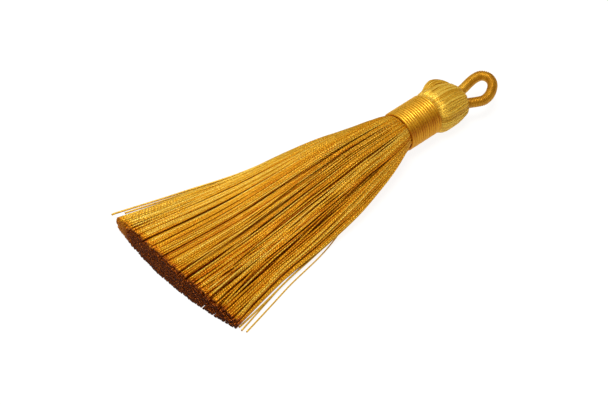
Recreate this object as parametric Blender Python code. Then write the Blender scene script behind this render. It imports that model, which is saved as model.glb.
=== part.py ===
"""A silk tassel lying on its side, with its loop towards +X and its skirt fanned out towards -X.

A hank of silk yarn is folded over the loop's cord. The fold is the head, and the cut ends are the
skirt. A thick thread is wound round the neck between them. The three pieces that a maker handles
are the yarn, the neck binding and the hanging loop, and each is one solid.

Sizes are in millimetres, and the meshes are made in metres. The surface it lies on is at z = 0.
"""

import math
import random
from collections import namedtuple

import bmesh
import bpy
from mathutils import Matrix, Vector

MM = 0.001
PIECE_GAP = 0.3

# Lengths along the tassel, from the loop's tip to the cut ends
TOTAL_LENGTH = 88.2
LOOP_REACH = 9.7
HEAD_LENGTH = 8.7
BINDING_LENGTH = 9.3
SKIRT_LENGTH = TOTAL_LENGTH - LOOP_REACH - HEAD_LENGTH - BINDING_LENGTH

# Places along X
HEAD_TOP_X = TOTAL_LENGTH / 2 - LOOP_REACH
HEAD_FOOT_X = HEAD_TOP_X - HEAD_LENGTH
NECK_X = HEAD_FOOT_X - BINDING_LENGTH

# The whole tassel is moved by this much, so that the middle of its outline is over the origin
CENTRING_X = 0.2
CENTRING_Y = -0.9

# Head and neck: their axis is turned a little from the skirt's. The head sags onto the surface
AXIS_HEIGHT = 5.2
AXIS_YAW = math.radians(2.1)
NECK_RADIUS = 3.7
BACKING_INSET = 0.12
HEAD_SIDES = 48
LOCK_RIDGES = 11
LOCK_RIDGE_DEPTH = 0.13
HEAD_SAG = 1.09

# The head's outline, as shares of its length and its radius in millimetres. It leans to the near side
HeadRing = namedtuple("HeadRing", "share radius lean ridges")
HEAD_RINGS = (
    HeadRing(share=0.02, radius=4.3, lean=0.1, ridges=0.4),
    HeadRing(share=0.08, radius=4.7, lean=0.2, ridges=0.8),
    HeadRing(share=0.20, radius=4.85, lean=0.35, ridges=1.0),
    HeadRing(share=0.39, radius=4.8, lean=0.4, ridges=1.0),
    HeadRing(share=0.57, radius=4.6, lean=0.5, ridges=1.0),
    HeadRing(share=0.74, radius=4.15, lean=0.75, ridges=1.0),
    HeadRing(share=0.85, radius=3.55, lean=1.0, ridges=0.9),
    HeadRing(share=0.925, radius=2.65, lean=1.3, ridges=0.7),
    HeadRing(share=0.975, radius=1.45, lean=1.45, ridges=0.4),
    HeadRing(share=1.0, radius=0.6, lean=1.5, ridges=0.1),
)

# One lock of the head stands off from the others on the far side, beside a deep crease
LOOSE_LOCK_ANGLE = math.radians(28)
LOOSE_LOCK_HALF_WIDTH = math.radians(34)
LOOSE_LOCK_RISE = 1.35
CREASE_ANGLE = math.radians(62)
CREASE_HALF_WIDTH = math.radians(11)
CREASE_DEPTH = 0.4
LOOSE_LOCK_SHARES = (0.0, 0.95)

# Neck binding: turns of thick thread, side by side
BINDING_TURNS = 14
BINDING_RADIUS = 4.55
BINDING_GROOVE = 0.2
BINDING_INNER_RADIUS = NECK_RADIUS + PIECE_GAP
BINDING_SIDES = 36

# Hanging loop: the middle line of the covered cord, from one end inside the head to the other
CORD_RADIUS = 1.06
CORD_SIDES = 10
CORD_STEPS = 3
LoopPoint = namedtuple("LoopPoint", "x y z")
LOOP_ROUTE = (
    LoopPoint(31.4, -0.1, 5.2),
    LoopPoint(33.1, 0.4, 5.25),
    LoopPoint(34.9, 0.85, 5.3),
    LoopPoint(36.7, 1.3, 5.4),
    LoopPoint(38.8, 1.75, 5.5),
    LoopPoint(40.7, 2.0, 5.5),
    LoopPoint(42.2, 1.75, 5.45),
    LoopPoint(43.0, 0.75, 5.4),
    LoopPoint(42.95, -0.55, 5.3),
    LoopPoint(42.2, -1.9, 5.2),
    LoopPoint(40.9, -2.95, 5.1),
    LoopPoint(39.2, -3.5, 5.05),
    LoopPoint(37.4, -3.65, 5.0),
    LoopPoint(35.6, -3.45, 5.0),
    LoopPoint(33.8, -3.05, 5.05),
    LoopPoint(31.9, -2.55, 5.1),
)

# Skirt: where its sections stand along its length, and the form of each. The last is the cut end
SkirtSection = namedtuple("SkirtSection", "share middle half_width flat bottom top loose")
SKIRT_SECTIONS = (
    SkirtSection(share=-0.006, middle=0.0, half_width=3.5, flat=0.0, bottom=2.2, top=8.2, loose=0.0),
    SkirtSection(share=0.045, middle=0.1, half_width=5.6, flat=0.1, bottom=0.7, top=9.6, loose=0.0),
    SkirtSection(share=0.20, middle=0.4, half_width=9.1, flat=0.45, bottom=0.0, top=9.0, loose=0.0),
    SkirtSection(share=0.52, middle=0.3, half_width=13.5, flat=0.9, bottom=0.0, top=7.1, loose=0.1),
    SkirtSection(share=1.0, middle=1.1, half_width=19.3, flat=1.0, bottom=0.0, top=5.2, loose=1.0),
)
END_THINNING = 0.415
END_FAR_SIDE_GAIN = 0.135
END_EDGE_ROUNDING = 0.05
NECK_EDGE_ROUNDING = 0.75
CUT_UNEVENNESS = 0.4

# Locks lie side by side in layers. A layer is a chord of the round neck, and as wide as the flat end
LAYERS = 6
LOCKS_IN_LAYER = 34
LOCK_WIDTH_FILL = 0.8
LOCK_HEIGHT_FILL = 0.88
LOCK_WIDTH_SCATTER = 0.28

# The outermost locks of some layers stray outwards. A side of 1 is the far one, and -1 the near one
Stray = namedtuple("Stray", "layer side reach shorter")
STRAYS = (
    Stray(layer=0, side=1, reach=2.6, shorter=0.0),
    Stray(layer=0, side=-1, reach=3.0, shorter=1.2),
    Stray(layer=1, side=-1, reach=1.8, shorter=0.6),
)
NO_STRAY = Stray(layer=None, side=0, reach=0.0, shorter=0.0)
STRAY_FILL = 0.6


def bump(distance, half_width):
    """1 in the middle, and down to 0 in a smooth curve at half_width and beyond."""
    near = min(1.0, abs(distance) / half_width)
    return (1 - near * near) ** 2


def turned(angle, other):
    """The angle from other to angle, between minus and plus half a turn."""
    return (angle - other + math.pi) % (2 * math.pi) - math.pi


def metres(x, y, z):
    return Vector((x, y, z)) * MM


def fabric_material(name, colour, roughness):
    material = bpy.data.materials.new(name)
    material.use_nodes = True
    shader = material.node_tree.nodes["Principled BSDF"]
    shader.inputs["Base Color"].default_value = (*colour, 1.0)
    shader.inputs["Roughness"].default_value = roughness
    shader.inputs["Metallic"].default_value = 0.0
    material.diffuse_color = (*colour, 1.0)
    return material


def mesh_object(name, mesh, material, parent):
    obj = bpy.data.objects.new(name, mesh)
    bpy.context.scene.collection.objects.link(obj)
    obj.data.materials.append(material)
    obj.parent = parent
    return obj


def helper_object(name, mesh, parent):
    """An operand for a Boolean, left out of the model."""
    obj = bpy.data.objects.new(name, mesh)
    bpy.context.scene.collection.objects.link(obj)
    obj.parent = parent
    obj.hide_render = True
    obj.display_type = "WIRE"
    return obj


def add_boolean(obj, operation, operand):
    modifier = obj.modifiers.new(operand.name, "BOOLEAN")
    modifier.operation = operation
    modifier.object = operand
    modifier.solver = "EXACT"


def finished(work, mesh_name):
    bmesh.ops.recalc_face_normals(work, faces=work.faces)
    mesh = bpy.data.meshes.new(mesh_name)
    work.to_mesh(mesh)
    work.free()
    return mesh


def skin(mesh_name, rings, closed_round):
    """A mesh over rings of points. closed_round joins the last ring to the first instead of capping both."""
    work = bmesh.new()
    rows = [[work.verts.new(point) for point in ring] for ring in rings]
    count = len(rows[0])
    pairs = list(zip(rows, rows[1:]))
    if closed_round:
        pairs.append((rows[-1], rows[0]))
    for near, far in pairs:
        for i in range(count):
            j = (i + 1) % count
            work.faces.new((near[i], near[j], far[j], far[i]))
    if not closed_round:
        work.faces.new(rows[0])
        work.faces.new(rows[-1])
    return finished(work, mesh_name)


def shade_round(mesh, sharp_from_degrees):
    mesh.shade_smooth()
    mesh.set_sharp_from_angle(angle=math.radians(sharp_from_degrees))


# Head and neck

def head_radius(row, angle):
    """The head's radius on one of its rings. The angle is from the far side, upwards."""
    ridge = LOCK_RIDGE_DEPTH * row.ridges * math.cos(LOCK_RIDGES * angle)
    first, last = LOOSE_LOCK_SHARES
    along = bump(row.share - (first + last) / 2, (last - first) / 2)
    lock = LOOSE_LOCK_RISE * bump(turned(angle, LOOSE_LOCK_ANGLE), LOOSE_LOCK_HALF_WIDTH)
    crease = CREASE_DEPTH * bump(turned(angle, CREASE_ANGLE), CREASE_HALF_WIDTH)
    return row.radius + ridge + along * (lock - crease)


def axis_point(distance, sideways, height):
    """A point in the head's own frame, whose X runs along its axis from the neck's edge."""
    placed = Matrix.Rotation(AXIS_YAW, 3, "Z") @ Vector((distance, sideways, height))
    return placed * MM + metres(NECK_X, 0, AXIS_HEIGHT)


def head_point(row, angle):
    """A point on one of the head's rings. Its underside sags, with a flat spot on the surface."""
    radius = head_radius(row, angle)
    distance = BINDING_LENGTH + PIECE_GAP + row.share * (HEAD_LENGTH - PIECE_GAP)
    height = radius * math.sin(angle)
    if height < 0:
        height = max(height * HEAD_SAG, -AXIS_HEIGHT)
    return axis_point(distance, radius * math.cos(angle) - row.lean, height)


def backing_mesh():
    """The neck and the head as one body, from just inside the binding's edge to the head's top."""
    angles = [2 * math.pi * i / HEAD_SIDES - math.pi / 2 for i in range(HEAD_SIDES)]
    rings = []
    for distance in (BACKING_INSET, BINDING_LENGTH):
        ring = [(NECK_RADIUS * math.cos(a), NECK_RADIUS * math.sin(a)) for a in angles]
        rings.append([axis_point(distance, sideways, height) for sideways, height in ring])
    rings += [[head_point(row, a) for a in angles] for row in HEAD_RINGS]
    mesh = skin("yarn", rings, closed_round=False)
    shade_round(mesh, 50)
    return mesh


# Skirt

def end_thickness_share(across):
    """The cut end is thickest in its middle and thinnest on the near side. across runs from -1 to 1."""
    return 1 + END_FAR_SIDE_GAIN * across - END_THINNING * across * across


def skirt_point(section, across, height, lengthened, stray):
    """A point of a section, from its place across, -1 to 1, and its height, 0 at the bottom to 1."""
    off_middle = 2 * height - 1
    neck_chord = math.sqrt(1 - NECK_EDGE_ROUNDING * off_middle * off_middle)
    end_chord = 1 - END_EDGE_ROUNDING * off_middle * off_middle
    chord = neck_chord + section.flat * (end_chord - neck_chord)
    side = section.middle + section.half_width * across * chord
    side += stray.side * stray.reach * section.loose
    thickness = section.top - section.bottom
    thickness *= 1 + section.flat * (end_thickness_share(across) - 1)
    widening = SKIRT_SECTIONS[-1].half_width - SKIRT_SECTIONS[0].half_width
    fan_angle = math.atan2(widening * across, SKIRT_LENGTH)
    length = section.share * SKIRT_LENGTH + (lengthened - stray.shorter) * section.loose
    return metres(NECK_X - length * math.cos(fan_angle), side, section.bottom + height * thickness)


def lock_mesh(name, across_edges, height_edges, lengthened, stray):
    """One four-sided lock, a little narrower and lower than its place.

    Its sides are split into triangles so that those that face each other across a gap bend alike.
    """
    (left, right), (low, high) = across_edges, height_edges
    corners = ((left, low), (right, low), (right, high), (left, high))
    work = bmesh.new()
    rows = [
        [work.verts.new(skirt_point(section, *corner, lengthened, stray)) for corner in corners]
        for section in SKIRT_SECTIONS
    ]
    for near, far in zip(rows, rows[1:]):
        for i, j in ((0, 1), (1, 2), (3, 2), (0, 3)):
            work.faces.new((near[i], near[j], far[j]))
            work.faces.new((near[i], far[j], far[i]))
    for end in (rows[0], rows[-1]):
        work.faces.new(end)
    return finished(work, name)


def narrowed(edges, fill):
    middle = sum(edges) / 2
    half = (edges[1] - edges[0]) / 2 * fill
    return middle - half, middle + half


def uneven_edges(count, scatter):
    """Places from -1 to 1 that part a layer into locks of uneven width."""
    widths = [1 + scatter.uniform(-LOCK_WIDTH_SCATTER, LOCK_WIDTH_SCATTER) for _ in range(count)]
    edges = [-1.0]
    for width in widths:
        edges.append(edges[-1] + 2 * width / sum(widths))
    return edges


def skirt_mesh():
    """All the locks of the skirt in one mesh, apart from each other."""
    scatter = random.Random(7)
    strays = {(stray.layer, stray.side): stray for stray in STRAYS}
    work = bmesh.new()
    for layer in range(LAYERS):
        edges = uneven_edges(LOCKS_IN_LAYER, scatter)
        bottom = layer / LAYERS
        for number, across in enumerate(zip(edges, edges[1:])):
            side = {0: -1, LOCKS_IN_LAYER - 1: 1}.get(number, 0)
            stray = strays.get((layer, side), NO_STRAY)
            top = bottom + LOCK_HEIGHT_FILL / LAYERS
            if stray is not NO_STRAY:
                across = narrowed(across, STRAY_FILL)
                top = bottom + STRAY_FILL / LAYERS
            lock = lock_mesh(
                f"lock_{layer}_{number}",
                narrowed(across, LOCK_WIDTH_FILL),
                (bottom, top),
                scatter.uniform(-CUT_UNEVENNESS, CUT_UNEVENNESS),
                stray,
            )
            work.from_mesh(lock)
            bpy.data.meshes.remove(lock)
    mesh = bpy.data.meshes.new("skirt_locks")
    work.to_mesh(mesh)
    work.free()
    return mesh


# Neck binding

def binding_mesh():
    """A sleeve with one ridge for each turn, round its own X axis."""
    pitch = BINDING_LENGTH / BINDING_TURNS
    profile = [(0.0, BINDING_INNER_RADIUS)]
    for turn in range(BINDING_TURNS):
        profile.append((turn * pitch, BINDING_RADIUS - BINDING_GROOVE))
        profile.append(((turn + 0.5) * pitch, BINDING_RADIUS))
    profile.append((BINDING_LENGTH, BINDING_RADIUS - BINDING_GROOVE))
    profile.append((BINDING_LENGTH, BINDING_INNER_RADIUS))
    angles = [2 * math.pi * i / BINDING_SIDES for i in range(BINDING_SIDES)]
    rings = [[metres(x, r * math.cos(a), r * math.sin(a)) for a in angles] for x, r in profile]
    return skin("neck_binding", rings, closed_round=True)


# Hanging loop

def smooth_route(points, steps):
    """Points on a smooth curve through the given ones, with steps between each two of them."""
    route = [Vector(p) for p in points]
    padded = [2 * route[0] - route[1], *route, 2 * route[-1] - route[-2]]
    line = []
    for before, start, end, after in zip(padded, padded[1:], padded[2:], padded[3:]):
        for step in range(steps):
            t = step / steps
            line.append(
                0.5
                * (
                    2 * start
                    + (end - before) * t
                    + (2 * before - 5 * start + 4 * end - after) * t**2
                    + (3 * start - before - 3 * end + after) * t**3
                )
            )
    line.append(route[-1])
    return line


def tube_mesh(name, line, radius, sides):
    """A round tube along a line that lies nearly level."""
    rings = []
    for i, middle in enumerate(line):
        ahead = (line[min(i + 1, len(line) - 1)] - line[max(i - 1, 0)]).normalized()
        across = Vector((0, 0, 1)).cross(ahead).normalized()
        upwards = ahead.cross(across)
        ring = []
        for side in range(sides):
            angle = 2 * math.pi * side / sides
            ring.append((middle + radius * (math.cos(angle) * across + math.sin(angle) * upwards)) * MM)
        rings.append(ring)
    return skin(name, rings, closed_round=False)


def extended(line, distance):
    """The line with both ends carried straight on."""
    first = line[0] + (line[0] - line[1]).normalized() * distance
    last = line[-1] + (line[-1] - line[-2]).normalized() * distance
    return [first, *line, last]


# The whole tassel

def make_yarn(parent):
    gold = fabric_material("golden_silk_yarn", (0.48, 0.2, 0.015), 0.42)
    yarn = mesh_object("silk_yarn", backing_mesh(), gold, parent)
    add_boolean(yarn, "UNION", helper_object("skirt_locks", skirt_mesh(), parent))
    line = extended(smooth_route(LOOP_ROUTE, CORD_STEPS), PIECE_GAP)
    socket = tube_mesh("loop_socket", line, CORD_RADIUS + PIECE_GAP, CORD_SIDES)
    add_boolean(yarn, "DIFFERENCE", helper_object("loop_socket", socket, parent))


def make_binding(parent):
    bright_gold = fabric_material("bright_silk_thread", (0.6, 0.31, 0.03), 0.32)
    mesh = binding_mesh()
    shade_round(mesh, 50)
    binding = mesh_object("neck_binding", mesh, bright_gold, parent)
    binding.location = metres(NECK_X, 0, AXIS_HEIGHT)
    binding.rotation_euler.z = AXIS_YAW


def make_loop(parent):
    amber = fabric_material("amber_covered_cord", (0.37, 0.15, 0.01), 0.4)
    line = smooth_route(LOOP_ROUTE, CORD_STEPS)
    mesh = tube_mesh("hanging_loop", line, CORD_RADIUS, CORD_SIDES)
    shade_round(mesh, 60)
    mesh_object("hanging_loop", mesh, amber, parent)


def main():
    for obj in list(bpy.data.objects):
        bpy.data.objects.remove(obj)
    tassel = bpy.data.objects.new("tassel", None)
    tassel.location = metres(CENTRING_X, CENTRING_Y, 0)
    bpy.context.scene.collection.objects.link(tassel)
    make_yarn(tassel)
    make_binding(tassel)
    make_loop(tassel)


main()
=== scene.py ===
"""The looks of the silk tassel: every thread of its skirt and head, the thread wound round its neck
and the covered cord of its loop, all as real geometry in the same frame as the solids.

Sizes are in millimetres until a mesh is made. The skirt is towards -X and the loop towards +X, and
the side away from the camera, the far side, is towards +Y. A share is a place along a form, from 0
to 1. A value whose name ends in FADE is the start and the width that above and below take.
"""

import math
from collections import namedtuple

import bpy
import numpy as np
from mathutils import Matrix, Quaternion, Vector


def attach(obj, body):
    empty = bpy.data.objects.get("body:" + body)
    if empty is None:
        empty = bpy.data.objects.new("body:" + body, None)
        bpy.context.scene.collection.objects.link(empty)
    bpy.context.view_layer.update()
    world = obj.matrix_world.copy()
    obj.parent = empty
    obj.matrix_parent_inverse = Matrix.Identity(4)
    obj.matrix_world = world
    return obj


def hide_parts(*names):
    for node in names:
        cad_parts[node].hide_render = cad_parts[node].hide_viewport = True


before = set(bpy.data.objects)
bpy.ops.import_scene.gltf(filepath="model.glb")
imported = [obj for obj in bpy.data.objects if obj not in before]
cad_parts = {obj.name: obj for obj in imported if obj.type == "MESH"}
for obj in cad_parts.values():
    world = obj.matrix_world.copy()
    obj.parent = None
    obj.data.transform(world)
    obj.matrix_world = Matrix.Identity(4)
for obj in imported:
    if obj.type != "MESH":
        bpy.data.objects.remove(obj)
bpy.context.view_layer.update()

MM = 0.001
ALONG_Y = np.array((0.0, 1.0, 0.0))
ALONG_Z = np.array((0.0, 0.0, 1.0))

# The whole tassel is moved by this much, as its solids are
CENTRING = np.array((0.2, -0.9, 0.0))

# The same places and sizes as in the solids
NECK_X = 16.4
BINDING_LENGTH = 9.3
HEAD_LENGTH = 8.7
SKIRT_LENGTH = 60.5
AXIS_HEIGHT = 5.2
AXIS_YAW = math.radians(2.1)

# Seeds of the random draws
SKIRT_SEED = 11
STRAYS_SEED = 23
HEAD_SEED = 5
CORE_SEED = 7
BINDING_SEED = 3
LOOP_SEED = 9

# Slow waves along a thread: the range of their strengths, and how many there are in its length
WAVE_STRENGTHS = (0.4, 1.0)
SWAY_WAVES = (0.9, 1.9)
LIFT_WAVES = (1.3, 2.9)
THREAD_SWAY = 0.05
THREAD_WAVE = 0.06

# Skirt: its sections from the neck to the cut end, with one value for each share of its length.
# The third one is the first outside the binding
SKIRT_SHARES = np.array((-0.03, -0.0055, 0.004, 0.045, 0.20, 0.36, 0.52, 0.76, 1.0))
SKIRT_MIDDLE = np.array((0.0, 0.0, 0.0, 0.28, 0.28, 0.08, 0.03, 1.1, 1.1))
SKIRT_HALF_WIDTH = np.array((3.5, 3.7, 4.3, 5.9, 9.25, 11.55, 12.9, 15.8, 19.3))
SKIRT_FLATNESS = np.array((0.0, 0.0, 0.0, 0.1, 0.45, 0.675, 0.9, 0.95, 1.0))
SKIRT_BOTTOM = np.array((1.7, 1.5, 0.9, 0.7, 0.0, 0.0, 0.0, 0.0, 0.0))
SKIRT_TOP = np.array((8.7, 8.9, 9.5, 9.6, 9.45, 8.45, 7.15, 5.4, 5.2))
NECK_SECTION = 2

# How the sections get thinner and rounder at their edges, and how much straighter the threads in
# the middle run than the skirt's curved sides
END_THINNING = 0.415
END_FAR_SIDE_GAIN = 0.135
END_EDGE_ROUNDING = 0.05
NECK_EDGE_ROUNDING = 0.75
STRAIGHTENING = 0.8

# Threads of the skirt: their thickness, and the rings that each is made of
THREAD_RADIUS = 0.22
RADIUS_AT_NECK = 0.56
RADIUS_SCATTER = 0.14
FULL_RADIUS_SHARE = 1.1
HIDDEN_SHARE = -0.03
RING_CROWDING = 1.25
# The band before the cut, with rings of its own, where the cut end's painted shade and light take over
END_BAND_START = 0.975
END_BAND_LENGTH = 0.025
END_RINGS = (0.99, 1.0)

# Threads of the skirt: their columns and rows. Rows are counted from the top
COLUMNS = 84
ROW_PITCH = 0.43
LEAST_ROWS = 4
TOP_ROWS = 3
BOTTOM_ROWS = 2
PLACE_SCATTER = 0.4
COLUMNS_REACH = 0.995

# Clumps of threads. In a row, a clump's middle sinks a little, and its edges sink more
CLUMP_SIZES = (1, 1, 2, 2, 2, 3, 4, 5)
CLUMP_GAPS = (0.0, 0.1)
CLUMP_DROP = 0.001
CLUMP_EDGE_DROP = 0.04
CLUMP_NUMBERS_IN_ROW = 100
INNER_CLUMP_SIZE = 4

# The skirt's layers. In a loose one, threads drift and cross, and in the others they lie packed.
# Clumps sink where sinking is 1, rise where it is -1, and do neither where it is 0
SkirtLayer = namedtuple("SkirtLayer", "name rings sides thickening sinking loose")
TOP_LAYER = SkirtLayer("top", rings=32, sides=6, thickening=1.0, sinking=1, loose=True)
INNER_LAYER = SkirtLayer("inner", rings=16, sides=5, thickening=1.16, sinking=0, loose=False)
BOTTOM_LAYER = SkirtLayer("bottom", rings=24, sides=6, thickening=1.3, sinking=-1, loose=False)
SkirtThread = namedtuple("SkirtThread", "across height drop clump tone end_tone")

# Drifts, as shares of the skirt's half width at its cut end, and how much of them is left in the
# packed layers
CLUMP_DRIFT = 0.02
THREAD_DRIFT = 0.016
PACKED_CLUMP_DRIFT = 0.2
PACKED_THREAD_DRIFT = 0.3

# Clumps and threads that cross others. The chance grows towards the near side, from 0 at the place
# across whose name ends in FROM, and the reach grows that way too. Most go to the near side
CROSSING_CLUMPS = 0.11
CROSSING_CLUMPS_FROM = 1.1
CROSSING_THREADS = 0.24
CROSSING_THREADS_FROM = 1.3
CROSSING_DRIFT = 0.12
CROSSING_FAR_SIDE_LOSS = 0.5
CROSSING_NEAR_SIDE_PUSH = 0.3
CROSSING_CLUMP_SPREAD = 0.8
CROSSING_LIFT = 0.25
CROSSING_LIFT_FADE = (0.0, 0.5)

# How far single threads stand out by chance, and whole clumps in a loose layer, and how much of all
# lift is left at the neck
THREAD_LIFT = 0.065
CLUMP_LIFT = 0.045
LIFT_LEFT_AT_NECK = 0.5

# The cut end. It slopes, with the top threads cut shorter, but for its far side
THREAD_CUT_SCATTER = 0.08
CLUMP_CUT_SCATTER = 0.22
PACKED_RAGGEDNESS = 0.35
END_SLOPE = 0.8
UNSLOPED_END_FADE = (0.55, 0.3)

# Tones, which each material turns into its colours. Under the top row they get darker, a painted
# shade, but for the skirt's two edges. Towards the cut end the far side gets a painted light. At the
# cut end they carry a painted shade, less of it in the second row, and a painted light in the top row
# and on the far side
TOP_TONE = 0.6
TONE_SCATTER = 0.24
ROW_PAINTED_SHADE = 0.07
DARKEST_ROW = 3
EDGES_FADE = (0.7, 0.25)
TONE_WAVE = 0.12
TONE_WAVES = (2.2, 5.3)
FAR_END_PAINTED_LIGHT = 0.12
FAR_END_LIGHT_FADE = (0.0, 0.7)
SHADED_TONE = -0.3
SECOND_ROW_PAINTED_LIGHT = 0.2
LIT_TONE = 0.3
LIT_END_FADE = (0.6, 0.3)

# Single threads that stray from the skirt: its side, how high up, where it leaves the others, how
# far it strays, how far it bows out on the way, and how much shorter it is
Stray = namedtuple("Stray", "side height leaves reach bow shorter")
STRAYS = (
    Stray(side=1, height=0.9, leaves=0.48, reach=1.57, bow=0.15, shorter=-0.38),
    Stray(side=1, height=0.8, leaves=0.55, reach=0.8, bow=0.1, shorter=2.2),
    Stray(side=-1, height=0.06, leaves=0.42, reach=2.78, bow=0.7, shorter=1.18),
    Stray(side=-1, height=0.14, leaves=0.56, reach=1.54, bow=0.15, shorter=0.6),
    Stray(side=-1, height=0.3, leaves=0.56, reach=0.5, bow=0.5, shorter=0.6),
)
STRAY_RINGS = 48
STRAY_SIDES = 8
STRAY_PLACE = 0.99
STRAY_THINNING = 0.9
STRAY_TONE = 0.55

# Head: its outline, with one value for each share of its length
HEAD_SHARES = np.array((-0.12, 0.0, 0.02, 0.08, 0.20, 0.39, 0.57, 0.74, 0.85, 0.925, 0.975, 1.0))
HEAD_RADIUS = np.array((3.5, 4.15, 4.42, 4.66, 4.87, 4.9, 4.75, 4.35, 3.85, 3.0, 1.8, 0.8))
HEAD_LEAN = np.array((0.0, 0.05, 0.1, 0.2, 0.35, 0.4, 0.5, 0.75, 1.0, 1.3, 1.45, 1.5))
HEAD_RIDGES = np.array((0.0, 0.2, 0.4, 0.8, 1.0, 1.0, 1.0, 1.0, 0.9, 0.7, 0.4, 0.1))
HEAD_SAG = 1.09
HEAD_CLEARANCE = 0.2
LOCK_RIDGES = 11
LOCK_RIDGE_DEPTH = 0.06

# The loose lock on the head's far side, with the crease beside it. It folds over twice
Fold = namedtuple("Fold", "middle half_length size")
LOOSE_LOCK_FOLDS = (
    Fold(middle=0.66, half_length=0.52, size=1.0),
    Fold(middle=1.15, half_length=0.45, size=0.95),
)
LOOSE_LOCK_ANGLE = math.radians(28)
LOOSE_LOCK_HALF_WIDTH = math.radians(34)
LOOSE_LOCK_RISE = 1.5
CREASE_ANGLE = math.radians(62)
CREASE_HALF_WIDTH = math.radians(11)
CREASE_DEPTH = 0.4

# Threads of the head, in layers. Grooves part the clumps, and get deeper away from the binding
HEAD_LAYERS = 2
HEAD_THREADS = 150
HEAD_THREAD_RADIUS = 0.15
HEAD_RADIUS_SCATTER = (0.85, 1.15)
HEAD_TAPER = 0.25
HEAD_TAPER_START = 0.7
HEAD_RINGS = 34
HEAD_SIDES = 6
HEAD_LAYER_DEPTH = 0.2
HEAD_SWAY = 0.012
HEAD_SWAY_WAVES = (0.7, 1.9)
HEAD_CLUMP_SWAY = 0.02
HEAD_CLUMP_WAVES = (0.6,)
HEAD_GROOVE_DEPTH = 0.2
HEAD_GROOVE_GROWTH = 1.6
HEAD_GROOVE_LEAST = 0.2
HEAD_TONE = 0.55
HEAD_TONE_SCATTER = 0.25
# Painted shade: darker in the lower layer, on the underside and towards the tip where the cord goes in
HEAD_LAYER_SHADE = 0.2
HEAD_UNDERSIDE_SHADE = 0.15
HEAD_UNDERSIDE_SHADE_FADE = (0.7, 0.9)
HEAD_TIP_SHADE = 0.25
HEAD_TIP_SHADE_FADE = (0.75, 0.25)

# The yarn's core, which runs from the neck to the head's tip under the threads
CORE_SIDES = 48
CORE_RINGS = 40
CORE_SHARES = (-1.15, 0.985)
CORE_INSET = 0.5
CORE_TONE = 0.5

# Neck binding: one thread, wound in turns that touch, with its two ends tucked under
BINDING_TURNS = 14
BINDING_RADIUS = 4.55
BINDING_PITCH = BINDING_LENGTH / BINDING_TURNS
BINDING_THREAD_RADIUS = 0.34
BINDING_THREAD_FLATNESS = 0.95
BINDING_RINGS_IN_TURN = 120
BINDING_SIDES = 12
BINDING_UNEVENNESS = 0.03
BINDING_UNEVEN_WAVES = (5.3, 9.1, 14.7)
TUCKED_TURNS = 0.12
TUCK_DEPTH = 0.45
BINDING_TONE = 0.66
BINDING_TONE_WAVE = 0.15
BINDING_TONE_WAVES = (3.1, 8.3)
# Painted shade on the binding's underside, and painted light from the floor on its lowest part
BINDING_SHADE_DROP = 0.55
BINDING_SHADE_FADE = (0.86, 0.42)
BINDING_FLOOR_LIGHT = 0.35
BINDING_FLOOR_LIGHT_FADE = (0.4, 0.4)

# Hanging loop: the middle line of its cord, and the thread wound round it
CORD_RADIUS = 1.13
LOOP_ROUTE = np.array(
    (
        (31.4, -0.1, 5.2),
        (33.1, 0.4, 5.25),
        (35.0, 0.8, 5.3),
        (36.9, 1.15, 5.35),
        (38.9, 1.6, 5.45),
        (40.8, 1.85, 5.5),
        (42.4, 1.6, 5.5),
        (43.2, 0.55, 5.4),
        (43.1, -0.8, 5.3),
        (42.3, -2.1, 5.2),
        (40.9, -3.2, 5.05),
        (39.3, -3.95, 4.95),
        (37.6, -4.1, 4.85),
        (36.1, -3.5, 4.85),
        (34.6, -2.75, 4.9),
        (32.6, -2.2, 5.1),
    )
)
ROUTE_STEPS = 24
WRAP_PITCH = 0.34
WRAP_RADIUS = 0.185
WRAP_DEPTH = 0.12
WRAP_RINGS_IN_TURN = 24
WRAP_SIDES = 6
WRAP_TONE = 0.4
# Painted light on the loop's far leg
WRAP_FAR_LEG_LIGHT = 0.35
WRAP_FAR_LEG_LIGHT_FADE = (0.0, 0.6)
WRAP_TONE_WAVE = 0.12
WRAP_TONE_WAVES = (3.1, 7.7)
LOOP_CORE_RINGS = 90
LOOP_CORE_SIDES = 16
LOOP_CORE_TONE = 0.3

# A thread's strip in the flat map, and the size of the caps at the strip's ends
STRIP_MARGIN = 0.04
STRIP_WIDTH = 0.92
CAP_SIZE = 0.004
CAP_FILL = 0.9
CAP_HALF_HEIGHT = 0.45

# Silk. Each thread has a twist of its own, and patches of its own that are lighter or darker. The
# faces at the threads' cut ends are matt
TWIST_LEAST = 0.8
TWIST_SPREAD = 0.4
PATCHES_IN_MM = 2.1
PATCHES_AROUND = 2.0
PATCHES_APART = 90.0
PATCH_DETAIL = 2.0
PATCH_ROUGHNESS = 0.6
PATCH_SHADE = 5.0
PLY_SHADE = 0.3
PLY_RELIEF = 0.2
# How sharply the painted shade gathers on each thread's flanks, where it touches its neighbours
FLANK_SHADE_SHARPNESS = 4.0
ROUGHNESS_SPREAD = 0.5
SILK_SPECULAR = 0.5
SILK_TINT = (1.0, 0.85, 0.4)
CUT_END_COLOUR = (0.06, 0.012, 0.002)
CUT_END_ROUGHNESS = 0.8
CUT_END_GRAIN = 40.0
CUT_END_DETAIL = 2.0
CUT_END_MOTTLE = 0.5
MATT_SPECULAR = 0.1

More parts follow.
